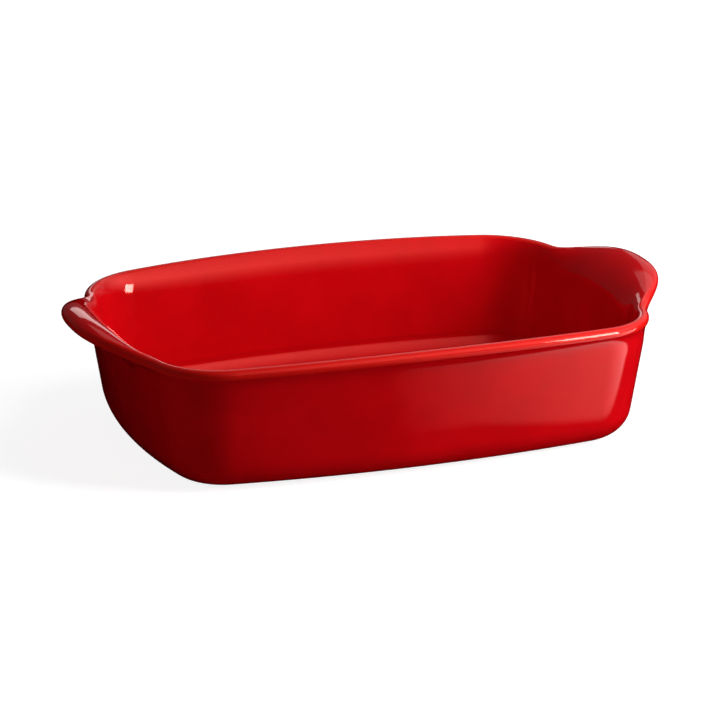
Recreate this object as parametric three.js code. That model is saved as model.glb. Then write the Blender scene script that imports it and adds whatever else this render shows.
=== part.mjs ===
// Rectangular oven dish in red glazed stoneware, with a lug handle at each short end.
// The clay is pressed in one piece, so floor, walls, flared rim, lugs and foot are one body.
// The glaze is a thin glass skin fused to that body everywhere but on the bare foot ring.
// Millimetres, +Z up, origin on the table under the middle of the dish.

import * as THREE from 'three';
import { mergeVertices } from 'three/addons/utils/BufferGeometryUtils.js';

// Walls, measured to the middle of their thickness
const bodyLength = 305.3; // along X, at the level where the rim starts to flare
const bodyWidth = 212.1; // along Y, at the same level
const cornerRadius = 39.5; // of the plan's corners, at the same level
const endSweep = 11.8; // degrees that each half of a short end bows before its corner starts
const sideSweep = 7.8; // the same for a long side
const rimHeight = 72.9; // lip above the table, at the ends
const rimCrown = 3.2; // how much higher the lip is at the middle of each long side
const wallThickness = 6.9; // fired, both coats of glaze included
const wallDraft = 9.3; // degrees that the walls lean outwards
const baseFillet = 15.4; // radius that turns the floor up into the walls

// Flared rim
const flareHeight = 16.2; // how far below the lip the wall starts to lean out
const sideFlare = 6; // how far the lip stands out on the long sides
const endFlare = 2.4; // and on the short ends
const sideFlareAngle = 39.6; // degrees from upright that the lip points, on the long sides
const endFlareAngle = 27.8; // and on the short ends
const endBlend = 4; // power that keeps the ends' flare near the ends, as the side turns into the end
const flareStartPull = 0.45; // how long the flare keeps the wall's direction, as a share of its chord
const flareLipPull = 0.35; // how long it keeps the lip's direction

// Lug handles, where the end wall is drawn out, raised and rolled over
const lugReach = 22.5; // past the plain end rim
const lugRise = 8.8; // above the plain end rim
const lugLift = 10; // how much higher on the wall a lug starts to bend than the plain flare
const lugThickness = 7.8; // at its rolled lip, glaze included
const lugAngle = 118; // degrees from upright that its lip points, so it dips past level
const lugWidth = 142; // along Y, where it has run out into the plain rim
const lugFullness = 2.7; // how square its outline is, seen from above
const lugReachEase = 2.2; // how gently its reach and rise run out at its ends
const lugBendEase = 1.2; // how gently its roll runs out, so the roll stays longer than the reach
const lugStartPull = 0.3; // as for the plain flare
const lugLipPull = 0.3;

// Glaze and foot
const glazeThickness = 0.5; // on every glazed face
const footHeight = 1.6; // from the table to the glazed underside
const footWidth = 6; // of the bare clay ring
const footInset = 1; // from the end of the outer fillet to the ring
const footEase = 0.6; // how much each edge of the ring is drawn in at the table

// Fineness of the facets
const columnsPerQuarter = 18; // around a quarter of the dish
const lugFineness = 1.5; // how much closer the columns stand on the lugs
const bendLength = 50; // length of lip that a radian of turn counts for, so corners get more columns
const filletSteps = 4;
const wallSteps = 1;
const flareSteps = 6;
const lipSteps = 3; // from the inside face of the lip to its crest

// A section of the wall is drawn in (out, up): out from the plan outline, up from the table.
// Its parameter v runs over three stretches: 0 to 1 the fillet, 1 to 2 the wall, 2 to 3 the flare.
const { degToRad, clamp, lerp, smoothstep } = THREE.MathUtils;
const filletEnd = 1;
const wallEnd = 2;
const flareEnd = 3;
const draft = degToRad(wallDraft);
const upTheWall = new THREE.Vector2(Math.sin(draft), Math.cos(draft));
const intoTheDish = new THREE.Vector2(-Math.cos(draft), Math.sin(draft));
const floorMiddle = footHeight + wallThickness / 2;

const flareStart = new THREE.Vector2(0, rimHeight - flareHeight);
const filletRise = baseFillet * (1 - Math.sin(draft));
const wallLength = (flareStart.y - floorMiddle - filletRise) / Math.cos(draft);
const filletTop = flareStart.clone().addScaledVector(upTheWall, -wallLength);
const filletCentre = filletTop.clone().addScaledVector(intoTheDish, baseFillet);

// A quarter of the plan is three arcs: half an end, a corner and half a side. Each meets the next
// in one direction, so the centre of the corner lies on the last spoke of the end's arc and on the
// first spoke of the side's. That gives two equations for the distances between the centres.
const endTurn = degToRad(endSweep);
const sideTurn = Math.PI / 2 - degToRad(sideSweep);
const endDip = 1 - Math.cos(endTurn);
const sideDip = 1 - Math.sin(sideTurn);
const lengthLeft = bodyLength / 2 - cornerRadius;
const widthLeft = bodyWidth / 2 - cornerRadius;
const determinant = endDip * sideDip - Math.sin(endTurn) * Math.cos(sideTurn);
const endToCorner = (lengthLeft * sideDip - widthLeft * Math.cos(sideTurn)) / determinant;
const sideToCorner = (widthLeft * endDip - lengthLeft * Math.sin(endTurn)) / determinant;
const endArc = { x: lengthLeft - endToCorner, y: 0, radius: cornerRadius + endToCorner };
const sideArc = { x: 0, y: widthLeft - sideToCorner, radius: cornerRadius + sideToCorner };
const cornerArc = {
  x: endArc.x + endToCorner * Math.cos(endTurn),
  y: endToCorner * Math.sin(endTurn),
  radius: cornerRadius,
};

function arcAt(turn) {
  const quarterTurn = Math.atan2(Math.abs(Math.sin(turn)), Math.abs(Math.cos(turn)));
  if (quarterTurn <= endTurn) {
    return endArc;
  }
  return quarterTurn < sideTurn ? cornerArc : sideArc;
}

// A point of the plan, moved straight out. The turn is the direction that the outline faces there.
function planPoint(turn, out) {
  const arc = arcAt(turn);
  const spoke = new THREE.Vector2(Math.cos(turn), Math.sin(turn));
  const centre = new THREE.Vector2(arc.x * Math.sign(spoke.x), arc.y * Math.sign(spoke.y));
  return centre.addScaledVector(spoke, arc.radius + out);
}

// How much of a lug stands at this turn: 1 in the middle of an end, easing to 0 where it runs out.
function lugShare(turn, ease) {
  const fromAxis = Math.min(Math.abs(planPoint(turn, 0).y) / (lugWidth / 2), 1);
  return (1 - fromAxis ** lugFullness) ** ease;
}

// A flare leaves the wall in the wall's own direction and ends at the lip in the lip's direction.
function flareCurve(start, lip, lipAngle, startPull, lipPull) {
  const chord = start.distanceTo(lip);
  const angle = degToRad(lipAngle);
  const lipDirection = new THREE.Vector2(Math.sin(angle), Math.cos(angle));
  const afterStart = start.clone().addScaledVector(upTheWall, chord * startPull);
  const beforeLip = lip.clone().addScaledVector(lipDirection, -chord * lipPull);
  return new THREE.CubicBezierCurve(start, afterStart, beforeLip, lip);
}

// How near this turn is to the end of the dish: 1 there, 0 at the middle of a long side
const endShare = (turn, power) => Math.abs(planPoint(turn, 0).x / (bodyLength / 2)) ** power;

// The flare at a turn: the side's becomes the end's, and a lug lengthens it and rolls it over.
function rimCurve(turn) {
  const share = endShare(turn, endBlend);
  const reached = lugShare(turn, lugReachEase);
  const bent = lugShare(turn, lugBendEase);
  const out = lerp(sideFlare, endFlare, share) + lugReach * reached;
  const start = flareStart.clone().addScaledVector(upTheWall, lugLift * reached);
  const lip = new THREE.Vector2(out, rimHeight + lugRise * reached);
  return flareCurve(
    start,
    lip,
    lerp(lerp(sideFlareAngle, endFlareAngle, share), lugAngle, bent),
    lerp(flareStartPull, lugStartPull, bent),
    lerp(flareLipPull, lugLipPull, bent),
  );
}

function sectionPoint(turn, v) {
  if (v <= filletEnd) {
    const angle = lerp(-Math.PI / 2, -draft, v);
    const spoke = new THREE.Vector2(Math.cos(angle), Math.sin(angle));
    return filletCentre.clone().addScaledVector(spoke, baseFillet);
  }
  const rim = rimCurve(turn);
  if (v <= wallEnd) {
    return filletTop.clone().lerp(rim.v0, v - filletEnd);
  }
  return rim.getPoint(v - wallEnd);
}

// The middle of the wall's thickness at a turn of the plan and a parameter v up the section
function middle(turn, v) {
  const section = sectionPoint(turn, v);
  const crownShare = clamp((section.y - filletTop.y) / (rimHeight - filletTop.y), 0, 1);
  const crown = rimCrown * (1 - endShare(turn, 2)) * crownShare;
  const point = planPoint(turn, section.x);
  return new THREE.Vector3(point.x, point.y, section.y + crown);
}

// Directions on the middle surface: up the section, and across the wall towards the inside
function wallDirections(turn, v) {
  const step = 1e-4;
  const before = middle(turn, Math.max(v - step, 0));
  const after = middle(turn, Math.min(v + step, flareEnd));
  const up = after.sub(before).normalize();
  const around = middle(turn + step, v).sub(middle(turn - step, v)).normalize();
  const across = up.clone().cross(around).normalize();
  return { up, across };
}

function halfThickness(turn, v) {
  const towardsLip = smoothstep(v, wallEnd, flareEnd);
  return lerp(wallThickness, lugThickness, lugShare(turn, lugReachEase) * towardsLip) / 2;
}

// A station of the skin is a place on the section's skin: v, and the angle round the lip.
// The inside face is at +90 degrees, the crest of the lip at 0 and the outside face at -90.
function skinPoint(turn, station, inset) {
  const { up, across } = wallDirections(turn, station.v);
  const depth = halfThickness(turn, station.v) - inset;
  return middle(turn, station.v)
    .addScaledVector(across, depth * Math.sin(station.roll))
    .addScaledVector(up, depth * Math.cos(station.roll));
}

// Columns stand at even steps along the lip, closer together on the lugs and round the corners.
function quarterTurns() {
  const samples = 4000;
  const step = Math.PI / 2 / samples;
  const turns = Array.from({ length: samples + 1 }, (_, i) => i * step);
  const lengths = [0];
  for (let i = 1; i <= samples; i += 1) {
    const length = middle(turns[i], flareEnd).distanceTo(middle(turns[i - 1], flareEnd));
    const fineness = lugShare(turns[i], lugReachEase) > 0 ? lugFineness : 1;
    lengths.push(lengths[i - 1] + length * fineness + bendLength * step);
  }
  return Array.from({ length: columnsPerQuarter }, (_, i) => {
    const wanted = (lengths[samples] * i) / columnsPerQuarter;
    return turns[lengths.findIndex((length) => length >= wanted)];
  });
}

const firstQuarter = quarterTurns();
const secondQuarter = firstQuarter.map((turn) => Math.PI - turn).reverse();
const halfRound = [...firstQuarter, Math.PI / 2, ...secondQuarter.slice(0, -1)];
const columns = [...halfRound, ...halfRound.map((turn) => turn + Math.PI)];

// Stations from the floor's inside edge up to the crest, and from the crest down to the foot
const evenly = (count, from, to) =>
  Array.from({ length: count }, (_, i) => lerp(from, to, (i + 1) / count));
const levels = [
  0,
  ...evenly(filletSteps, 0, filletEnd),
  ...evenly(wallSteps, filletEnd, wallEnd),
  ...evenly(flareSteps, wallEnd, flareEnd),
];
const insideStations = [
  ...levels.map((v) => ({ v, roll: Math.PI / 2 })),
  ...evenly(lipSteps, Math.PI / 2, 0).map((roll) => ({ v: flareEnd, roll })),
];
const outsideStations = insideStations.map(({ v, roll }) => ({ v, roll: -roll })).reverse();

const skinRings = (stations, inset) =>
  stations.map((station) => columns.map((turn) => skinPoint(turn, station, inset)));

// Rings under the floor, where the foot stands
function baseRing(out, up) {
  return columns.map((turn) => {
    const point = planPoint(turn, out);
    return new THREE.Vector3(point.x, point.y, up);
  });
}

// A patch of skin over successive rings. Facing -1 turns it round without moving its diagonals,
// so that glaze and clay meet on the very same triangles.
function patch(rings, facing) {
  const triangles = [];
  for (let i = 0; i + 1 < rings.length; i += 1) {
    for (let k = 0; k < columns.length; k += 1) {
      const next = (k + 1) % columns.length;
      triangles.push([rings[i][k], rings[i + 1][k], rings[i + 1][next]]);
      triangles.push([rings[i][k], rings[i + 1][next], rings[i][next]]);
    }
  }
  return facing > 0 ? triangles : triangles.map(([a, b, c]) => [a, c, b]);
}

// A flat disc that fills a ring. Facing 1 looks up and -1 looks down.
function disc(ring, facing) {
  const centre = new THREE.Vector3(0, 0, ring[0].z);
  const triangles = ring.map((point, k) => [centre, point, ring[(k + 1) % ring.length]]);
  return facing > 0 ? triangles : triangles.map(([a, b, c]) => [a, c, b]);
}

function solid(name, material, patches) {
  const points = patches.flat(2);
  const loose = new THREE.BufferGeometry().setFromPoints(points);
  const geometry = mergeVertices(loose);
  geometry.computeVertexNormals();
  const mesh = new THREE.Mesh(geometry, material);
  mesh.name = name;
  return mesh;
}

const clay = new THREE.MeshStandardMaterial({ color: 0xcbb697, roughness: 0.85, metalness: 0 });
const redGlaze = new THREE.MeshStandardMaterial({ color: 0xb40d14, roughness: 0.12, metalness: 0 });

// Skins of the glaze and, one glaze thickness below them, of the clay
const insideSkin = skinRings(insideStations, 0);
const insideClay = skinRings(insideStations, glazeThickness);
const outsideSkin = skinRings(outsideStations, 0);
const outsideClay = skinRings(outsideStations, glazeThickness);

// Foot ring, between the glazed underside and the table
const glazeTop = footHeight + glazeThickness;
const footOuter = filletCentre.x - footInset;
const footInner = footOuter - footWidth;
const footOuterTop = baseRing(footOuter, glazeTop);
const footOuterEdge = baseRing(footOuter, footHeight);
const footInnerEdge = baseRing(footInner, footHeight);
const footInnerTop = baseRing(footInner, glazeTop);
const footRings = [
  footOuterTop,
  footOuterEdge,
  baseRing(footOuter - footEase, 0),
  baseRing(footInner + footEase, 0),
  footInnerEdge,
  footInnerTop,
];

const stonewareBody = solid('stoneware_body', clay, [
  disc(insideClay[0], 1),
  patch(insideClay, 1),
  patch(outsideClay, 1),
  patch([outsideClay.at(-1), footOuterTop], 1),
  patch(footRings, 1),
  disc(footInnerTop, -1),
]);

const insideGlaze = solid('inside_glaze', redGlaze, [
  disc(insideSkin[0], 1),
  patch(insideSkin, 1),
  patch([insideSkin.at(-1), insideClay.at(-1)], 1),
  patch(insideClay, -1),
  disc(insideClay[0], -1),
]);

const outsideGlaze = solid('outside_glaze', redGlaze, [
  patch([outsideSkin[0], outsideClay[0]], -1),
  patch(outsideSkin, 1),
  patch([outsideSkin.at(-1), footOuterEdge], 1),
  patch([footOuterTop, footOuterEdge], -1),
  patch([outsideClay.at(-1), footOuterTop], -1),
  patch(outsideClay, -1),
]);

const undersideGlaze = solid('underside_glaze', redGlaze, [
  disc(footInnerEdge, -1),
  patch([footInnerEdge, footInnerTop], -1),
  disc(footInnerTop, 1),
]);

const bakingDish = new THREE.Group();
bakingDish.add(stonewareBody, insideGlaze, outsideGlaze, undersideGlaze);

export default bakingDish;
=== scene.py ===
# %% [markdown]
# # A glazed oven dish
#
# The object is a rectangular stoneware dish for the oven, with a lug handle at each short end.
# A press forms its floor, walls, rim and lugs from one piece of clay. The clay is fired, coated
# with red glaze and fired again, and the glaze melts to a skin of glass. Only a ring of clay
# under the floor stays bare, because a glazed foot would stick to the shelf of the kiln.
#
# The frame already holds the dish as four solids: the clay, and the glaze inside, outside and
# underneath. They are made of flat facets, and a glossy glaze shows each one. So this lesson
# works the same surfaces out again on a much finer grid, and puts them in the solids' places.

# %% Load the frame
import math

import bpy
import numpy as np
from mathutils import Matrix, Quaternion, Vector


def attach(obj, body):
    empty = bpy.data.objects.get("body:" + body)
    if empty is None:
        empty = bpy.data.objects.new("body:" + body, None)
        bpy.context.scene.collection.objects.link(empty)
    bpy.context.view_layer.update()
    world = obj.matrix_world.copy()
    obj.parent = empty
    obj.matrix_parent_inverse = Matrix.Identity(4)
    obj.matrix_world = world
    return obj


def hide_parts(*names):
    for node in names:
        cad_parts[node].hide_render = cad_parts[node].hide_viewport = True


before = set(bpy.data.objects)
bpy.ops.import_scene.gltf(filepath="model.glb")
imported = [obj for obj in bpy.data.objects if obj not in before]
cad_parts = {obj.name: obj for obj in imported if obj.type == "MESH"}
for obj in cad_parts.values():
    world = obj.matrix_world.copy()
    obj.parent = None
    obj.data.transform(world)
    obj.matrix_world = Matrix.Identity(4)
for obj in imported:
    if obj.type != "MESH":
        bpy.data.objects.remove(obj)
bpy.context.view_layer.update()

# %% [markdown]
# ## The measures of the dish
#
# These are the sizes that the solids were made from, in millimetres and degrees. A script that
# stands alone has to repeat them. Everything below follows from these few numbers, so a change
# to one of them reshapes every piece together. Blender works in metres, and the points are
# turned into metres at the very end, where a mesh is made.

# %% Sizes of walls, rim, lugs, glaze and foot
BODY_LENGTH, BODY_WIDTH = 305.3, 212.1  # to the middle of the wall, where the rim starts to flare
CORNER_RADIUS = 39.5
END_SWEEP, SIDE_SWEEP = math.radians(11.8), math.radians(7.8)  # bow of half an end, half a side
RIM_HEIGHT, RIM_CROWN = 72.9, 3.2  # the lip at the ends, and its rise along the long sides
WALL_THICKNESS, BASE_FILLET = 6.9, 15.4
DRAFT = math.radians(9.3)  # the walls lean outwards

FLARE_HEIGHT, SIDE_FLARE, END_FLARE = 16.2, 6.0, 2.4
SIDE_FLARE_ANGLE, END_FLARE_ANGLE = math.radians(39.6), math.radians(27.8)
FLARE_PULLS = np.array([0.45, 0.35])  # how long a flare keeps the wall's direction, then the lip's
END_BLEND = 4  # power that keeps the ends' flare near the ends

LUG_REACH, LUG_RISE, LUG_LIFT = 22.5, 8.8, 10.0
LUG_THICKNESS, LUG_WIDTH, LUG_FULLNESS = 7.8, 142.0, 2.7
LUG_REACH_EASE, LUG_BEND_EASE = 2.2, 1.2  # how gently a lug's reach and its roll run out
LUG_ANGLE = math.radians(118)  # past level, so the lip of a lug rolls over
LUG_PULLS = np.array([0.3, 0.3])

GLAZE = 0.5
FOOT_HEIGHT, FOOT_WIDTH, FOOT_INSET = 1.6, 6.0, 1.0
MM = 0.001
print("lip over the lugs in mm:", RIM_HEIGHT + LUG_RISE)

# %% [markdown]
# ## The plan
#
# Seen from above, the dish is a rectangle with bowed sides and round corners. A quarter of it is
# three arcs: half an end, a corner and half a side. Each arc meets the next in one direction, so
# the centre of the corner lies on the last spoke of the end's arc and on the first spoke of the
# side's. That gives two equations for the distances between the centres, and one call solves them.
#
# A point of the plan is named by its turn, the direction that the outline faces there. Moving it
# out is easy then: it goes along its own spoke, and a corner moved in keeps its centre. The walls
# lean alike all the way round because of that.

# %% The plan of three arcs
CORNER_START, CORNER_END = END_SWEEP, math.pi / 2 - SIDE_SWEEP
LENGTH_LEFT, WIDTH_LEFT = BODY_LENGTH / 2 - CORNER_RADIUS, BODY_WIDTH / 2 - CORNER_RADIUS
END_SPAN, SIDE_SPAN = np.linalg.solve(
    [[1 - math.cos(CORNER_START), math.cos(CORNER_END)],
     [math.sin(CORNER_START), 1 - math.sin(CORNER_END)]], [LENGTH_LEFT, WIDTH_LEFT])
END_CENTRE, SIDE_CENTRE = LENGTH_LEFT - END_SPAN, WIDTH_LEFT - SIDE_SPAN
CORNER_X = END_CENTRE + END_SPAN * math.cos(CORNER_START)
CORNER_Y = END_SPAN * math.sin(CORNER_START)


def plan(turn, out=0.0):
    """x and y of the outline where it faces in the direction turn: the centre of the arc there,
    plus the arc's radius and out along the cosine and sine of the turn."""
    x, y = np.cos(turn), np.sin(turn)
    folded = np.arctan2(np.abs(y), np.abs(x))
    places = [folded <= CORNER_START, folded < CORNER_END]
    centre_x = np.select(places, [END_CENTRE, CORNER_X], 0.0) * np.sign(x)
    centre_y = np.select(places, [0.0, CORNER_Y], SIDE_CENTRE) * np.sign(y)
    radius = CORNER_RADIUS + np.select(places, [END_SPAN, 0.0], SIDE_SPAN) + out
    return centre_x + radius * x, centre_y + radius * y


print("radii of end, corner and side in mm:",
      [round(CORNER_RADIUS + span, 1) for span in (END_SPAN, 0.0, SIDE_SPAN)])

# %% [markdown]
# ## The lugs' share
#
# A lug is no separate piece. It is the same end wall drawn out, raised and rolled over, most in
# the middle of the end and less towards its corners. A share from 0 to 1 says how much of a lug
# there is. It starts as 1 - q^n, where q runs from the middle of the lug to its end and n makes
# the outline fuller. A power then lets it run out gently. The roll takes a smaller power than the
# reach, so near its ends a lug is short but still rolled over, and it stops with a small notch.

# %% Shares along the rim
def lug_share(turn, ease):
    """1 in the middle of a lug and 0 past its ends: 1 - q^n, to the power ease."""
    from_axis = np.minimum(np.abs(plan(turn)[1]) / (LUG_WIDTH / 2), 1)
    return (1 - from_axis ** LUG_FULLNESS) ** ease


def end_share(turn, power):
    """How near the outline is to the end of the dish: x over its largest value, to a power."""
    return np.abs(plan(turn)[0] / (BODY_LENGTH / 2)) ** power


half_way = 1 - 0.5 ** LUG_FULLNESS
print("share of a lug half way along it:",
      [round(half_way ** ease, 2) for ease in (LUG_REACH_EASE, LUG_BEND_EASE)])

# %% [markdown]
# ## One section through the wall
#
# Cut through the wall, the dish shows a fillet that turns up from the floor, a straight wall, and
# a rim that flares out. We draw the line in the middle of the thickness. A point of it has two
# numbers, out from the plan and up from the table, and one complex number holds both: out is the
# real part and up the imaginary part. Then a turn is a multiplication, and an arc is an exp().
#
# The rim is a cubic Bezier curve. It leaves the wall in the wall's own direction, so no crease
# shows where the two meet. Its measures change along the rim: it flares more on the long sides
# than on the ends, and a lug makes it bend higher up and faster, reach farther and roll over.

# %% The section at each turn
def blend(a, b, share):
    """a where share is 0, b where it is 1, and in between on a straight line."""
    return a + (b - a) * share


UP_THE_WALL = np.exp(1j * (math.pi / 2 - DRAFT))
FLOOR_MIDDLE = FOOT_HEIGHT + WALL_THICKNESS / 2
FLARE_START = 1j * (RIM_HEIGHT - FLARE_HEIGHT)
FILLET_RISE = BASE_FILLET * (1 - math.sin(DRAFT))
WALL_LENGTH = (FLARE_START.imag - FLOOR_MIDDLE - FILLET_RISE) / math.cos(DRAFT)
FILLET_TOP = FLARE_START - UP_THE_WALL * WALL_LENGTH
FILLET_CENTRE = FILLET_TOP + 1j * UP_THE_WALL * BASE_FILLET
LIP = 3.0  # the height v at which the section ends


def rim_points(turn):
    """Four Bezier points at each turn. The first is on the wall and the last on the lip. The second
    lies up the wall from the first, the third back from the lip, each by a share of the chord."""
    share = end_share(turn, END_BLEND)
    reached, bent = lug_share(turn, LUG_REACH_EASE), lug_share(turn, LUG_BEND_EASE)
    start = FLARE_START + UP_THE_WALL * LUG_LIFT * reached
    lip = (blend(SIDE_FLARE, END_FLARE, share) + LUG_REACH * reached
           + 1j * (RIM_HEIGHT + LUG_RISE * reached))
    lip_angle = blend(blend(SIDE_FLARE_ANGLE, END_FLARE_ANGLE, share), LUG_ANGLE, bent)
    lip_way = np.exp(1j * (math.pi / 2 - lip_angle))
    start_pull, lip_pull = (blend(a, b, bent) for a, b in zip(FLARE_PULLS, LUG_PULLS))
    chord = np.abs(lip - start)
    return start, start + UP_THE_WALL * chord * start_pull, lip - lip_way * chord * lip_pull, lip


def section(turn, v):
    """The middle of the wall at v: an arc about the fillet's centre for v from 0 to 1, a straight
    line for 1 to 2, and for 2 to 3 the Bezier sum of the rim's points, weighted 1, 3, 3, 1."""
    rim = rim_points(turn)
    arc = np.exp(1j * blend(-math.pi / 2, -DRAFT, np.clip(v, 0, 1)))
    fillet = FILLET_CENTRE + BASE_FILLET * arc
    wall = blend(FILLET_TOP, rim[0], np.clip(v - 1, 0, 1))
    t = np.clip(v - 2, 0, 1)
    weights = (1 - t) ** 3, 3 * t * (1 - t) ** 2, 3 * t ** 2 * (1 - t), t ** 3
    curve = sum(weight * point for weight, point in zip(weights, rim))
    return np.where(v <= 1, fillet, np.where(v <= 2, wall, curve))


print("straight wall in mm:", round(WALL_LENGTH, 2), "fillet ends at", np.round(FILLET_TOP, 2))

# %% [markdown]
# ## The middle surface
#
# Now section and plan go together. At a turn and a height v, the section says how far out and how
# high the middle of the wall is, and the plan says where that is. The long sides also rise a
# little towards their middle, which the crown adds.

# %% The middle of the wall
def middle(turn, v):
    """The middle of the wall as x, y, z: the plan moved out by the section's real part, at the
    height of its imaginary part plus the crown, which grows up the wall and away from the ends."""
    place = section(turn, v)
    up_share = np.clip((place.imag - FILLET_TOP.imag) / (RIM_HEIGHT - FILLET_TOP.imag), 0, 1)
    crown = RIM_CROWN * (1 - end_share(turn, 2)) * up_share
    return np.stack([*plan(turn, place.real), place.imag + crown], axis=-1)


print("tip of a lug, middle of its thickness:", np.round(middle(np.zeros(1), np.full(1, LIP)), 2))

# %% [markdown]
# ## From the middle of the wall to its skin
#
# The wall has a thickness, and its edge is round. We could give the middle surface a Solidify
# modifier, but then the lip would be cut square and the lug could not grow thicker towards its
# edge. Instead we walk over the skin: up the inside face, round the lip and down the outside. One
# number, the walk, says how far we are. It is 0 at the floor, 3 where the lip starts to turn, 4
# on the crest, 5 where the outside face starts, and 8 under the floor.
#
# The second number is the turn, the direction that the outline faces, so every point of the skin
# is a function of two parameters. The same function with an inset gives the clay under the glaze.

# %% The skin of the dish
def unit(vectors):
    """Each vector over its own length."""
    return vectors / np.linalg.norm(vectors, axis=-1, keepdims=True)


CREST, WALK_END = 4.0, 8.0


def skin(turn, walk, inset=0.0):
    """A point of the skin: the middle of the wall, plus half the thickness less the inset in a
    direction that turns from across the wall, inwards, over straight up to across, outwards."""
    v = np.minimum(np.minimum(walk, WALK_END - walk), LIP)
    roll = np.clip(CREST - walk, -1, 1) * math.pi / 2
    step = 1e-4
    up = unit(middle(turn, np.minimum(v + step, LIP)) - middle(turn, np.maximum(v - step, 0)))
    around = unit(middle(turn + step, v) - middle(turn - step, v))
    across = unit(np.cross(up, around))
    t = np.clip(v - 2, 0, 1)
    swell = lug_share(turn, LUG_REACH_EASE) * t * t * (3 - 2 * t)
    depth = blend(WALL_THICKNESS, LUG_THICKNESS, swell) / 2 - inset
    way = np.sin(roll)[..., None] * across + np.cos(roll)[..., None] * up
    return middle(turn, v) + depth[..., None] * way


print("crest in the middle of a lug in mm:", np.round(skin(np.zeros(1), np.full(1, CREST)), 2))

# %% [markdown]
# ## Where the grid has its lines
#
# Even steps of the turn would crowd the lines in the corners, where the outline turns fast, and
# starve the long sides. So we measure how far the lip has run at many turns, and ask at which turn
# it has run one step, two steps, and so on: np.interp answers that for all columns at once. One
# quarter is measured, and mirrored for the other three, so the two lugs are exactly alike.
#
# Along the walk, the tight curves get the most lines: the roll of the lip, then the flare.

# %% Columns and rows of the grid
QUARTER_COLUMNS, MEASURED_TURNS = 128, 4001
dense = np.linspace(0, math.pi / 2, MEASURED_TURNS)
lip_points = middle(dense, np.full(dense.shape, LIP))
lip_run = np.concatenate([[0], np.cumsum(np.linalg.norm(np.diff(lip_points, axis=0), axis=1))])
quarter = np.interp(np.arange(QUARTER_COLUMNS) * lip_run[-1] / QUARTER_COLUMNS, lip_run, dense)
back_quarter = math.pi - np.append(quarter[1:], math.pi / 2)[::-1]
half_round = np.concatenate([quarter, back_quarter])
turns = np.concatenate([half_round, half_round + math.pi])[None, :]

WALK_STEPS = (0, 1, 20), (1, 2, 16), (2, 3, 36), (3, 4, 14)  # fillet, wall, flare, half the lip
inside_walk = np.concatenate([[0.0]] + [np.linspace(a, b, n + 1)[1:] for a, b, n in WALK_STEPS])
outside_walk = WALK_END - inside_walk[::-1]
print("lip all round in mm:", round(4 * lip_run[-1], 1), "columns:", turns.size,
      "rows inside:", inside_walk.size)

# %% [markdown]
# ## Normals and hollows
#
# A normal is the direction that a surface faces, and a glossy surface shows even a small fault in
# it. Blender can average the normals of the faces, but it would do so badly on the crest of the
# lip, where the inside coat ends and the outside coat begins. The cross product of two short
# steps over the skin, one along the walk and one around, gives the true direction on both.
#
# Melted glaze runs off edges and gathers in hollows. To know which is which, we compare a small
# patch of the skin with the same patch of clay below it. On an edge the clay's patch is smaller,
# in a hollow it is larger, and the change per millimetre is stored in each mesh as "hollow".

# %% Measure normals and hollows on the grid
def patch_cross(walk, inset):
    """Cross product of two short steps over the skin, along the walk and around."""
    step = 1e-3
    walk = walk[:, None]
    along = (skin(turns, np.minimum(walk + step, WALK_END), inset)
             - skin(turns, np.maximum(walk - step, 0), inset))
    around = skin(turns + step, walk, inset) - skin(turns - step, walk, inset)
    return np.cross(along, around)


def hollows(walk):
    """How much a patch of clay is larger than the glaze's patch above it, per millimetre."""
    above, below = (np.linalg.norm(patch_cross(walk, inset), axis=-1) for inset in (0.0, GLAZE))
    return (below / above - 1) / GLAZE


inside_hollow, outside_hollow = hollows(inside_walk), hollows(outside_walk)
for place, value in ("inside", inside_hollow), ("outside", outside_hollow):
    print(place, "edges to", round(value.min(), 3), "hollows to", round(value.max(), 3), "per mm")

# %% [markdown]
# ## A mesh from rings
#
# Every piece of the dish is a stack of closed rings, so one function makes all the meshes. Four
# neighbours on two rings make a face. A coat that covers the floor closes at both ends in a pole,
# a single point in the middle of the floor. A coat without a floor runs down its outer face and
# back up its inner one, and its last ring joins the first. Either way it is a closed solid skin,
# as glaze is, and not a sheet of paper without a back.

# %% Make closed meshes from rings
def flat_rings(ring, shares):
    """The ring drawn together towards the upright axis: x and y times each share, z kept."""
    return ring[None] * np.stack([shares, shares, np.ones_like(shares)], axis=-1)[:, None, :]


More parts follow.
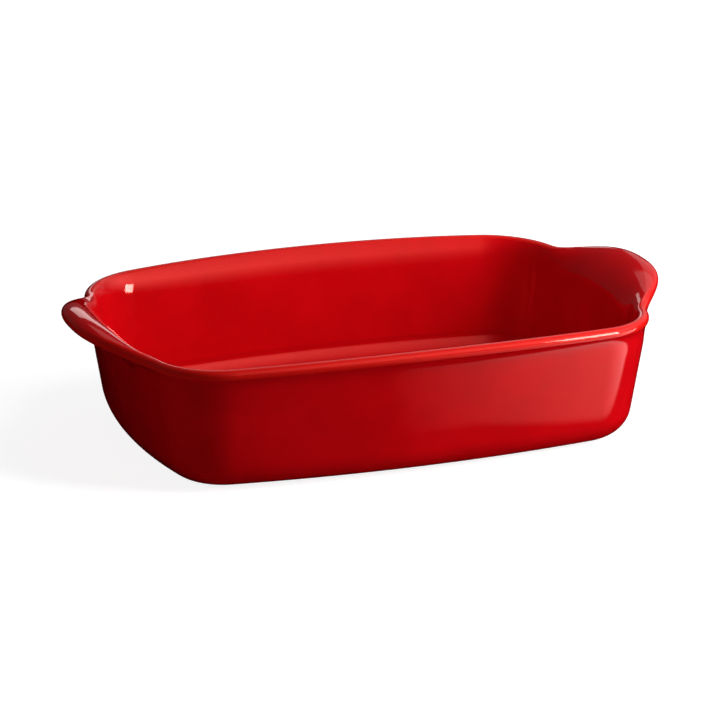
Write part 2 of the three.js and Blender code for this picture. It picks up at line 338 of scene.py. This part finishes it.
def ring_piece(name, rings, poles, smooth_rows=None, normals=None, hollow=None):
    """A mesh object from rings, an array of rows by columns by 3 in millimetres. Each face joins a
    point, the next row's point, that one's neighbour and its own neighbour. With poles the first
    and last ring close in a point, and without them the last row joins the first. The faces
    between the rows of smooth_rows take the given normals, and the others take Blender's own.
    hollow is stored at the points of those rows, and is 0 at all others."""
    rows, columns = rings.shape[:2]
    corner = np.arange(rows * columns).reshape(rows, columns)
    lower, upper = (corner[:-1], corner[1:]) if poles else (corner, np.roll(corner, -1, axis=0))
    quads = np.stack([lower, upper, np.roll(upper, -1, 1), np.roll(lower, -1, 1)], axis=-1)
    points, faces = rings.reshape(-1, 3), quads.reshape(-1, 4).tolist()
    if poles:
        points = np.concatenate([points, [rings[0].mean(0), rings[-1].mean(0)]])
        first_ring, last_ring = corner[0], corner[-1]
        edges = (first_ring, np.roll(first_ring, -1)), (np.roll(last_ring, -1), last_ring)
        for pole, edge in enumerate(edges, rows * columns):
            faces += np.stack([np.full(columns, pole), *edge], axis=-1).tolist()
    mesh = bpy.data.meshes.new(name)
    mesh.from_pydata((points * MM).tolist(), [], faces, shade_flat=False)
    values = np.zeros(len(points), np.float32)
    if smooth_rows:
        first, last = smooth_rows
        smooth = slice(first * columns, last * columns)
        table = np.zeros((rows * columns, 3))
        table[smooth] = normals.reshape(-1, 3)
        given = np.zeros((len(mesh.loops), 3))
        part = given[:quads.size].reshape(quads.shape + (3,))
        part[first:last - 1] = table[quads[first:last - 1]]
        mesh.normals_split_custom_set(given.tolist())
        values[smooth] = hollow.ravel()
    mesh.attributes.new("hollow", "FLOAT", "POINT").data.foreach_set("value", values)
    mesh.validate()
    piece = bpy.data.objects.new(name, mesh)
    bpy.context.scene.collection.objects.link(piece)
    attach(piece, "root")
    mesh.calc_loop_triangles()
    print(name, "has", len(points), "points and", len(mesh.loop_triangles), "triangles")
    return piece


# %% [markdown]
# ## The glaze inside
#
# The inside coat starts in the middle of the floor, runs up the wall and ends on the crest of the
# lip. Then it turns back, half a millimetre lower, along the clay that it is fused to. The back
# is never seen, so it takes only every second row.

# %% Inside coat
FLOOR_STEPS = 12
FLOOR_SHARES = np.linspace(0, 1, FLOOR_STEPS + 1)[1:-1]
inside_skin = skin(turns, inside_walk[:, None])
inside_clay = skin(turns, inside_walk[::2][:, None], GLAZE)
inside_normals = unit(patch_cross(inside_walk, 0.0))
inside_rings = np.concatenate([
    flat_rings(inside_skin[0], FLOOR_SHARES), inside_skin,
    inside_clay[::-1], flat_rings(inside_clay[0], FLOOR_SHARES[::-1])])
inside_rows = FLOOR_SHARES.size, FLOOR_SHARES.size + inside_walk.size
inside_coat = ring_piece("inside_glaze_coat", inside_rings, True, inside_rows,
                         inside_normals, inside_hollow)
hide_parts("inside_glaze")

# %% [markdown]
# ## The glaze outside
#
# The outside coat goes on from the crest, down the wall and round the fillet, and stops at the
# foot. There the glaze was wiped off before firing, so it ends in a small step against the clay.

# %% Outside coat
def base_ring(out, up):
    """A level ring under the floor: the plan moved out, at the height up."""
    x, y = plan(turns[0], out)
    return np.stack([x, y, np.full(x.shape, up)], axis=-1)


FOOT_OUTER = FILLET_CENTRE.real - FOOT_INSET
FOOT_INNER = FOOT_OUTER - FOOT_WIDTH
CLAY_BASE = FOOT_HEIGHT + GLAZE
outside_skin = skin(turns, outside_walk[:, None])
outside_clay = skin(turns, outside_walk[::2][:, None], GLAZE)
outside_normals = unit(patch_cross(outside_walk, 0.0))
outside_rings = np.concatenate([
    outside_skin, [base_ring(FOOT_OUTER, FOOT_HEIGHT), base_ring(FOOT_OUTER, CLAY_BASE)],
    outside_clay[::-1]])
outside_coat = ring_piece("outside_glaze_coat", outside_rings, False, (0, outside_walk.size),
                          outside_normals, outside_hollow)
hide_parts("outside_glaze")

# %% [markdown]
# ## The glaze underneath
#
# Inside the foot ring the underside is glazed too. It is a flat plate half a millimetre thick.

# %% Underside coat
under_edge, under_top = base_ring(FOOT_INNER, FOOT_HEIGHT), base_ring(FOOT_INNER, CLAY_BASE)
under_rings = np.concatenate([
    flat_rings(under_top, FLOOR_SHARES), [under_top], [under_edge],
    flat_rings(under_edge, FLOOR_SHARES[::-1])])
underside_coat = ring_piece("underside_glaze_coat", under_rings, True)
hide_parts("underside_glaze")

# %% [markdown]
# ## The clay
#
# The clay fills all the space between the coats, and shows only where the foot ring stands bare.
# A foot is rubbed smooth after firing so that it won't scratch a table, and its edges are round.
# A superellipse gives that, |x|^n + |y|^n = 1 with a large n: half of one, upside down, is a flat
# sole with soft edges.

# %% Clay body with its foot ring
FOOT_SQUARENESS, SOLE_POINTS = 5, 33
sole_turns = np.linspace(0, math.pi, SOLE_POINTS)
sole_x, sole_y = np.cos(sole_turns), np.sin(sole_turns)
sole_sum = np.abs(sole_x) ** FOOT_SQUARENESS + sole_y ** FOOT_SQUARENESS
sole_radius = sole_sum ** (-1 / FOOT_SQUARENESS)
foot_rings = np.stack([
    base_ring(FOOT_OUTER + (x - 1) * FOOT_WIDTH / 2, FOOT_HEIGHT * (1 - y))
    for x, y in zip(sole_x * sole_radius, sole_y * sole_radius)])
clay_rings = np.concatenate([
    flat_rings(inside_clay[0], FLOOR_SHARES), inside_clay, outside_clay[1:],
    [base_ring(FOOT_OUTER, CLAY_BASE)], foot_rings, [base_ring(FOOT_INNER, CLAY_BASE)],
    flat_rings(base_ring(FOOT_INNER, CLAY_BASE), FLOOR_SHARES[::-1])])
clay_body = ring_piece("clay_body", clay_rings, True)
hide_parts("stoneware_body")

# %% [markdown]
# ## Finishes: three effects that the materials share
#
# Glaze and clay are both made by fire, and neither is even. Each effect below is a node group: a
# small network with named sockets, built once and used by several materials with other values.
# "cloudy tone" is a soft change from place to place, "specks" are small dots with random gaps,
# and "fine ripple" is a height for bump mapping. They read Object coordinates, which are metres
# on the dish itself, so sizes can be given in metres and stay put when the dish moves.

# %% Helpers for node trees
def add_node(tree, kind, inputs=None, **settings):
    """A new node. inputs gives values for its sockets by name, settings its own properties."""
    node = tree.nodes.new(kind)
    for name, value in settings.items():
        setattr(node, name, value)
    for name, value in (inputs or {}).items():
        node.inputs[name].default_value = value
    return node


def new_group(name, inputs, output):
    """An empty shader group with float inputs, given with their first values, and one output."""
    tree = bpy.data.node_groups.new(name, "ShaderNodeTree")
    for label, value in inputs.items():
        socket = tree.interface.new_socket(label, in_out="INPUT", socket_type="NodeSocketFloat")
        socket.default_value = value
    tree.interface.new_socket(output, in_out="OUTPUT", socket_type="NodeSocketFloat")
    return tree, tree.nodes.new("NodeGroupInput"), tree.nodes.new("NodeGroupOutput")


def per_metre(tree, size):
    """One over a size in metres, which is what a texture's Scale socket wants."""
    node = add_node(tree, "ShaderNodeMath", {0: 1.0}, operation="DIVIDE")
    tree.links.new(size, node.inputs[1])
    return node.outputs[0]


def join(tree, *pairs):
    """Links each pair of an output socket and an input socket."""
    for source, target in pairs:
        tree.links.new(source, target)


# %% [markdown]
# ## Cloudy tone
#
# Melted glaze and fired clay are a little lighter in one place than in the next. A painted picture
# could show that, but it would have to be wrapped round the dish. Noise works in space, so it runs
# over the lip and round the corners without a seam.

# %% Cloudy tone
cloudy, given, result = new_group("cloudy tone", {"Patch Size": 0.01}, "Tone")
place = add_node(cloudy, "ShaderNodeTexCoord")
noise = add_node(cloudy, "ShaderNodeTexNoise", {"Detail": 3.0, "Roughness": 0.55})
spread = add_node(cloudy, "ShaderNodeMapRange", {"From Min": 0.3, "From Max": 0.7})
join(cloudy, (place.outputs["Object"], noise.inputs["Vector"]),
     (per_metre(cloudy, given.outputs["Patch Size"]), noise.inputs["Scale"]),
     (noise.outputs["Fac"], spread.inputs["Value"]),
     (spread.outputs["Result"], result.inputs["Tone"]))
print("made group", cloudy.name)

# %% [markdown]
# ## Specks
#
# Grains of iron burn dark in the kiln, and some show through the glaze. A Voronoi texture scatters
# points in space and gives the distance to the nearest one. Close to a point lies a dot, and the
# random colour that each point has picks the few dots that are kept.

# %% Specks
specks, given, result = new_group("specks", {"Spacing": 0.004, "Size": 0.1, "Share": 0.3}, "Mask")
place = add_node(specks, "ShaderNodeTexCoord")
cells = add_node(specks, "ShaderNodeTexVoronoi")
dot = add_node(specks, "ShaderNodeMapRange", {"To Min": 1.0, "To Max": 0.0},
               interpolation_type="SMOOTHSTEP")
chance = add_node(specks, "ShaderNodeSeparateColor")
chosen = add_node(specks, "ShaderNodeMath", operation="LESS_THAN")
both = add_node(specks, "ShaderNodeMath", operation="MULTIPLY")
join(specks, (place.outputs["Object"], cells.inputs["Vector"]),
     (per_metre(specks, given.outputs["Spacing"]), cells.inputs["Scale"]),
     (cells.outputs["Distance"], dot.inputs["Value"]),
     (given.outputs["Size"], dot.inputs["From Max"]),
     (cells.outputs["Color"], chance.inputs["Color"]),
     (chance.outputs["Red"], chosen.inputs[0]), (given.outputs["Share"], chosen.inputs[1]),
     (dot.outputs["Result"], both.inputs[0]), (chosen.outputs[0], both.inputs[1]),
     (both.outputs[0], result.inputs["Mask"]))
print("made group", specks.name)

# %% [markdown]
# ## Fine ripple
#
# Glass that has flowed is never quite flat, and clay is grainy. Waves in the mesh would need
# millions of faces for heights of a few thousandths of a millimetre. A bump turns only the normals,
# which is all that the eye sees of it. Broad waves and a small grain add up to one height.

# %% Fine ripple
ripple, given, result = new_group(
    "fine ripple", {"Grain Size": 0.003, "Wave Size": 0.03, "Wave Height": 5.0}, "Height")
place = add_node(ripple, "ShaderNodeTexCoord")
grain = add_node(ripple, "ShaderNodeTexNoise", {"Detail": 1.0})
wave = add_node(ripple, "ShaderNodeTexNoise", {"Detail": 0.0})
total = add_node(ripple, "ShaderNodeMath", operation="MULTIPLY_ADD")
join(ripple, (place.outputs["Object"], grain.inputs["Vector"]),
     (place.outputs["Object"], wave.inputs["Vector"]),
     (per_metre(ripple, given.outputs["Grain Size"]), grain.inputs["Scale"]),
     (per_metre(ripple, given.outputs["Wave Size"]), wave.inputs["Scale"]),
     (wave.outputs["Fac"], total.inputs[0]), (given.outputs["Wave Height"], total.inputs[1]),
     (grain.outputs["Fac"], total.inputs[2]), (total.outputs[0], result.inputs["Height"]))
print("made group", ripple.name)

# %% [markdown]
# ## Steps that all the materials take
#
# A material is a tree of nodes too. Glaze and clay both use a shared group, mix two colours, move a
# value to another range and turn a height into a normal. Each of these steps is a helper that
# returns an output socket, so one step can be handed straight to the next.

# %% Helpers for materials
def group_node(tree, group, **values):
    """A node that uses a shared group, with its sockets set by name."""
    node = add_node(tree, "ShaderNodeGroup", node_tree=group)
    for name, value in values.items():
        node.inputs[name.replace("_", " ")].default_value = value
    return node.outputs[0]


def mixed(tree, share, first, second):
    """A colour between first and second. Each is a colour's three numbers or an output socket."""
    node = add_node(tree, "ShaderNodeMix", data_type="RGBA")
    tree.links.new(share, node.inputs[0])
    for colour, socket in (first, node.inputs[6]), (second, node.inputs[7]):
        if isinstance(colour, bpy.types.NodeSocket):
            tree.links.new(colour, socket)
        else:
            socket.default_value = (*colour, 1.0)
    return node.outputs[2]


def ranged(tree, value, from_range, to_range):
    """The value, moved from one range to another and held to its ends."""
    node = add_node(tree, "ShaderNodeMapRange", {
        "From Min": from_range[0], "From Max": from_range[1],
        "To Min": to_range[0], "To Max": to_range[1]})
    tree.links.new(value, node.inputs["Value"])
    return node.outputs["Result"]


def bumped(tree, height, distance):
    """A normal from a height. distance is what a height of 1 stands for, in metres."""
    node = add_node(tree, "ShaderNodeBump", {"Strength": 1.0, "Distance": distance})
    tree.links.new(height, node.inputs["Height"])
    return node.outputs["Normal"]


# %% [markdown]
# ## Red glaze
#
# The glaze is glass, coloured through. Three things keep it from looking like plastic. It is
# thinner on edges, where the pale clay warms it, and thicker in hollows, where it is deeper. Its
# tone drifts a little from place to place. And its surface ripples by a few thousandths of a
# millimetre, which is enough to soften the edges of what it mirrors.

# %% Red glaze material
DRIFT_REDS = (0.46, 0.0012, 0.0035), (0.54, 0.0018, 0.0045)
DEEP_RED, WARM_RED, SPECK_RED = (0.40, 0.001, 0.003), (0.66, 0.012, 0.006), (0.10, 0.002, 0.002)
DEEP_RANGE, WARM_RANGE = (0.02, 0.16), (-0.1, -0.3)  # hollow per mm, from no effect to all of it
MIX_RANGE = (0, 0.5)
GLAZE_IOR, MIRROR_TINT = 1.6, (1.0, 0.16, 0.13, 1.0)


def glaze_material(name, rough_range, ripple_height):
    """Red glaze: a drifting red, warmer on edges and deeper in hollows, with a few dark specks."""
    material = bpy.data.materials.new(name)
    material.use_nodes = True
    tree = material.node_tree
    shader = tree.nodes["Principled BSDF"]
    hollow = add_node(tree, "ShaderNodeAttribute", attribute_name="hollow").outputs["Fac"]
    drift = group_node(tree, cloudy, Patch_Size=0.03)
    red = mixed(tree, drift, *DRIFT_REDS)
    red = mixed(tree, ranged(tree, hollow, DEEP_RANGE, MIX_RANGE), red, DEEP_RED)
    red = mixed(tree, ranged(tree, hollow, WARM_RANGE, MIX_RANGE), red, WARM_RED)
    dots = group_node(tree, specks, Spacing=0.006, Size=0.05, Share=0.2)
    red = mixed(tree, dots, red, SPECK_RED)
    rough = ranged(tree, group_node(tree, cloudy, Patch_Size=0.008), (0, 1), rough_range)
    height = group_node(tree, ripple, Grain_Size=0.0035, Wave_Size=0.04, Wave_Height=6.0)
    join(tree, (red, shader.inputs["Base Color"]), (rough, shader.inputs["Roughness"]),
         (bumped(tree, height, ripple_height), shader.inputs["Normal"]))
    shader.inputs["IOR"].default_value = GLAZE_IOR
    shader.inputs["Specular Tint"].default_value = MIRROR_TINT
    return material


red_glaze = glaze_material("red glaze", rough_range=(0.05, 0.09), ripple_height=4e-6)
for coat in inside_coat, outside_coat:
    coat.data.materials.append(red_glaze)
print("glaze nodes:", len(red_glaze.node_tree.nodes))

# %% [markdown]
# ## Glaze under the dish
#
# The underside lay closest to the kiln shelf. The same glaze came out duller there and more
# uneven, so it is the same recipe with a rougher range and a stronger ripple.

# %% Underside material
underside_glaze = glaze_material("underside glaze", rough_range=(0.12, 0.25), ripple_height=1e-5)
underside_coat.data.materials.append(underside_glaze)
print("underside glaze nodes:", len(underside_glaze.node_tree.nodes))

# %% [markdown]
# ## Bare clay
#
# Fired stoneware is buff, dry and grainy, with darker grains of iron. It uses the same groups as
# the glaze with other values: small clouds, many specks, and a ripple as coarse as fine sand.

# %% Clay material
BUFFS, IRON_BROWN = ((0.52, 0.40, 0.26), (0.66, 0.53, 0.37)), (0.20, 0.11, 0.06)
CLAY_ROUGH_RANGE, CLAY_GRAIN_HEIGHT = (0.75, 0.92), 6e-5
clay = bpy.data.materials.new("bare clay")
clay.use_nodes = True
clay_tree = clay.node_tree
clay_shader = clay_tree.nodes["Principled BSDF"]
clay_tone = group_node(clay_tree, cloudy, Patch_Size=0.004)
buff = mixed(clay_tree, clay_tone, *BUFFS)
iron = group_node(clay_tree, specks, Spacing=0.0025, Size=0.16, Share=0.35)
buff = mixed(clay_tree, iron, buff, IRON_BROWN)
clay_height = group_node(clay_tree, ripple, Grain_Size=0.0006, Wave_Size=0.006, Wave_Height=2.0)
join(clay_tree, (buff, clay_shader.inputs["Base Color"]),
     (ranged(clay_tree, clay_tone, (0, 1), CLAY_ROUGH_RANGE), clay_shader.inputs["Roughness"]),
     (bumped(clay_tree, clay_height, CLAY_GRAIN_HEIGHT), clay_shader.inputs["Normal"]))
clay_body.data.materials.append(clay)
print("clay nodes:", len(clay_tree.nodes))

# %% [markdown]
# ## Floor
#
# The dish stands on a plain pale floor. A studio has a sheet of paper for that, curved up at the
# back. A level disc that is larger than any view of it does the same, and has no curve to hide.

# %% Floor
FLOOR_RADIUS, FLOOR_CORNERS = 30.0, 96
floor_turns = np.linspace(0, 2 * math.pi, FLOOR_CORNERS + 1)[:-1]
floor_ring = np.stack([np.cos(floor_turns), np.sin(floor_turns), 0 * floor_turns], axis=-1)
floor_mesh = bpy.data.meshes.new("floor")
floor_mesh.from_pydata((floor_ring * FLOOR_RADIUS).tolist(), [], [list(range(FLOOR_CORNERS))])
floor = bpy.data.objects.new("floor", floor_mesh)
bpy.context.scene.collection.objects.link(floor)
print("floor radius in metres:", FLOOR_RADIUS)

# %% [markdown]
# ## What the floor shows
#
# To look white, a floor could be lit strongly, but it would throw that light back onto the walls of
# the dish. So the floor takes the shadow with a middle grey, and shines by itself for rays from the
# camera, which Light Path tells apart. Near the dish that shine is painted a little dimmer, a painted
# shade round the dish that deepens its real shadow there.
#
# The walls lean outwards, so they mirror the floor. Mirrored rays and rays through glass see it
# painted dark, except for a painted pool of light, a reflection of lamp light that no lamp casts on
# the floor. The pool grows brighter towards the right. Its near edge is a painted shadow edge of the
# rim: it begins about 3 cm in front of the rim, and nearer at the right corner. More than half a
# metre off it fades to a tenth.

# %% Floor material
FLOOR_GREY = 0.5
# The shine near the dish is painted dimmer than far off: painted shade round the dish, on top of its
# real shadow.
SHADED_NEAR_SHINE, FAR_SHINE, SHINE_RANGE = 0.86, 1.0, (0.3, 1.0)  # the range is metres from the middle
# The pool is painted light that only mirrored rays see, and its edge near the dish is a painted
# shadow edge of the rim.
PAINTED_POOL_SLOPE, PAINTED_POOL_SPAN = 13.8, 0.6  # shine per metre along x, and the x at which it is full
POOL_SHADOW_EDGE, SHADOW_EDGE_BLUR = -0.142, 0.004  # metres along y
SHADOW_EDGE_SWING, SWING_RANGE = 0.029, (0.05, 0.15)  # the edge comes nearer over this range of x
FADE_RANGE, FADED_SHARE = (-0.5, -1.2), 0.1  # metres along y, and what is left of the pool


def sums(tree, operation, *values):
    """Values put together with one operation, from left to right. Each is a number or an output."""
    total = values[0]
    for value in values[1:]:
        node = add_node(tree, "ShaderNodeMath", operation=operation)
        for socket, part in zip(node.inputs, (total, value)):
            if isinstance(part, bpy.types.NodeSocket):
                tree.links.new(part, socket)
            else:
                socket.default_value = part
        total = node.outputs[0]
    return total


paper = bpy.data.materials.new("pale floor")
paper.use_nodes = True
paper_tree = paper.node_tree
paper_shader = paper_tree.nodes["Principled BSDF"]
paper_shader.inputs["Roughness"].default_value = 1.0
paper_shader.inputs["Specular IOR Level"].default_value = 0.0
paper_shader.inputs["Emission Color"].default_value = (1.0, 1.0, 1.0, 1.0)
rays = add_node(paper_tree, "ShaderNodeLightPath").outputs
spot = add_node(paper_tree, "ShaderNodeTexCoord").outputs["Object"]
place = add_node(paper_tree, "ShaderNodeSeparateXYZ")
far = add_node(paper_tree, "ShaderNodeVectorMath", operation="LENGTH")
join(paper_tree, (spot, place.inputs["Vector"]), (spot, far.inputs[0]))
spot_x, spot_y = place.outputs["X"], place.outputs["Y"]

mirrored = sums(paper_tree, "ADD", rays["Is Glossy Ray"], rays["Is Transmission Ray"])
edge = ranged(paper_tree, spot_x, SWING_RANGE, (POOL_SHADOW_EDGE, POOL_SHADOW_EDGE + SHADOW_EDGE_SWING))
past_shadow_edge = sums(paper_tree, "SUBTRACT", spot_y, edge)
# A painted pool of light for mirrored rays only: brighter to the right, cut off by the painted shadow
# edge, faded far off.
painted_pool = sums(paper_tree, "MULTIPLY", mirrored,
            ranged(paper_tree, spot_x, (0.0, PAINTED_POOL_SPAN), (0.0, PAINTED_POOL_SPAN * PAINTED_POOL_SLOPE)),
            ranged(paper_tree, past_shadow_edge, (SHADOW_EDGE_BLUR, -SHADOW_EDGE_BLUR), (0.0, 1.0)),
            ranged(paper_tree, spot_y, FADE_RANGE, (1.0, FADED_SHARE)))
# The camera sees the floor's shine, painted dimmer near the dish as shade.
seen = sums(paper_tree, "MULTIPLY", rays["Is Camera Ray"],
            ranged(paper_tree, far.outputs["Value"], SHINE_RANGE, (SHADED_NEAR_SHINE, FAR_SHINE)))
# Mirrored rays see none of the lit grey, so the floor is painted dark in reflections.
grey = sums(paper_tree, "MULTIPLY", sums(paper_tree, "SUBTRACT", 1.0, mirrored), FLOOR_GREY)
join(paper_tree, (grey, paper_shader.inputs["Base Color"]),
     (sums(paper_tree, "ADD", seen, painted_pool), paper_shader.inputs["Emission Strength"]))
floor_mesh.materials.append(paper)
print("floor nodes:", len(paper_tree.nodes))

# %% [markdown]
# ## World
#
# The studio is dark, but its walls catch some light round the softbox. The world gives that glow to
# mirrored rays only, on top of a faint even grey. The glow is the cosine of the angle to the softbox,
# to the fourth power, so it fades out smoothly at a right angle. It also grows with the height above
# the horizon. Rays from the camera see plain white, and the world lights nothing else.

# %% World
WORLD_GREY, GLOW, GLOW_POWER = 0.05, 4.6, 4.0
GLOW_RISE = (0.05, 0.45)  # height of the direction at which the glow starts, and is full


def direction(turn, lift):
    """The unit vector that points turn degrees to the right of the front, and lift degrees up."""
    turn, lift = math.radians(turn), math.radians(lift)
    level = math.cos(lift)
    return Vector((math.sin(turn) * level, -math.cos(turn) * level, math.sin(lift)))


GLOW_WAY = direction(47.0, 20.0)
world = bpy.data.worlds.new("dark studio")
bpy.context.scene.world = world
world.use_nodes = True
world_tree = world.node_tree
way = add_node(world_tree, "ShaderNodeTexCoord").outputs["Generated"]
rays = add_node(world_tree, "ShaderNodeLightPath").outputs
facing = add_node(world_tree, "ShaderNodeVectorMath", {1: GLOW_WAY}, operation="DOT_PRODUCT")
height = add_node(world_tree, "ShaderNodeSeparateXYZ")
join(world_tree, (way, facing.inputs[0]), (way, height.inputs["Vector"]))

lit = sums(world_tree, "MAXIMUM", facing.outputs["Value"], 0.0)
glow = sums(world_tree, "MULTIPLY", sums(world_tree, "POWER", lit, GLOW_POWER),
            ranged(world_tree, height.outputs["Z"], GLOW_RISE, (0.0, 1.0)), GLOW)
sky = sums(world_tree, "ADD", glow, WORLD_GREY)
mirrored = sums(world_tree, "MULTIPLY", sky, rays["Is Glossy Ray"])
background = world_tree.nodes["Background"]
background.inputs["Color"].default_value = (1.0, 1.0, 1.0, 1.0)
join(world_tree, (sums(world_tree, "ADD", mirrored, rays["Is Camera Ray"]),
                  background.inputs["Strength"]))
print("world nodes:", len(world_tree.nodes))

# %% [markdown]
# ## Lamps
#
# One tall softbox stands close on the right in front of the dish and makes nearly all the light, so
# the left end falls off into the dark. A small softbox above adds to it on level places. A weak fill
# from the left keeps that end from going black, and a weak softbox behind lights the back.
#
# What lights the dish and what it mirrors are different lamps here, so that each can be set alone.
# The tall softbox, the top one and the fill are not mirrored. The bright core stands for the middle
# of the tall softbox and is only mirrored, as are a tilted strip and a panel behind the dish.

# %% Softboxes
AIM = Vector((0, 0, 0.04))


def softbox(name, way, distance, width, height, power, mirrored=True, diffuse=True, roll=0.0):
    """An area lamp at the distance along the way, facing the middle of the dish and rolled about
    that line by roll degrees. mirrored and diffuse say for which rays from a surface it is there."""
    lamp = bpy.data.lights.new(name, "AREA")
    lamp.shape, lamp.size, lamp.size_y, lamp.energy = "RECTANGLE", width, height, power
    holder = bpy.data.objects.new(name, lamp)
    holder.location = AIM + way * distance
    holder.rotation_mode = "QUATERNION"
    rolled = Quaternion((0, 0, 1), math.radians(roll))
    holder.rotation_quaternion = way.to_track_quat("Z", "Y") @ rolled
    holder.visible_camera, holder.visible_glossy, holder.visible_diffuse = False, mirrored, diffuse
    bpy.context.scene.collection.objects.link(holder)
    print(name, "at", [round(x, 2) for x in holder.location])


softbox("tall softbox", direction(52, 27), 0.9, 0.45, 0.7, 11.2, mirrored=False)
softbox("top softbox", direction(60, 70), 0.5, 0.25, 0.25, 0.95, mirrored=False)
softbox("bright core", direction(44, 12), 0.9, 0.28, 0.36, 19.0, diffuse=False)
softbox("left fill", direction(-90, 20), 1.5, 0.6, 0.6, 3.0, mirrored=False)
softbox("rear softbox", direction(150, 50), 1.5, 1.2, 0.8, 1.5)
softbox("rear strip", direction(166, 14), 1.5, 0.73, 0.21, 0.65, diffuse=False, roll=31)
softbox("rear panel", direction(130, 30), 1.5, 1.2, 1.2, 1.6, diffuse=False)

# %% [markdown]
# ## Camera
#
# The camera stands in front of the dish, a little to the left and above, and looks at it through a
# long lens from a little over two metres. A short lens from close by would show the same side, but
# the near corner would look too large.

# %% Camera
CAMERA_TURN, CAMERA_LIFT = -19.903, 17.968  # degrees
CAMERA_DISTANCE, CAMERA_TARGET = 2.2144, Vector((-0.002654, 0.0, 0.03981))
SENSOR_WIDTH, LENS = 36.0, 186.41  # millimetres
camera_data = bpy.data.cameras.new("camera")
camera_data.sensor_width, camera_data.lens = SENSOR_WIDTH, LENS
camera = bpy.data.objects.new("camera", camera_data)
bpy.context.scene.collection.objects.link(camera)
back = direction(CAMERA_TURN, CAMERA_LIFT)
camera.location = CAMERA_TARGET + back * CAMERA_DISTANCE
camera.rotation_mode = "QUATERNION"
camera.rotation_quaternion = (-back).to_track_quat("-Z", "Y")
bpy.context.scene.camera = camera
bpy.context.scene.view_settings.view_transform = "Standard"
print("camera at", [round(x, 3) for x in camera.location])
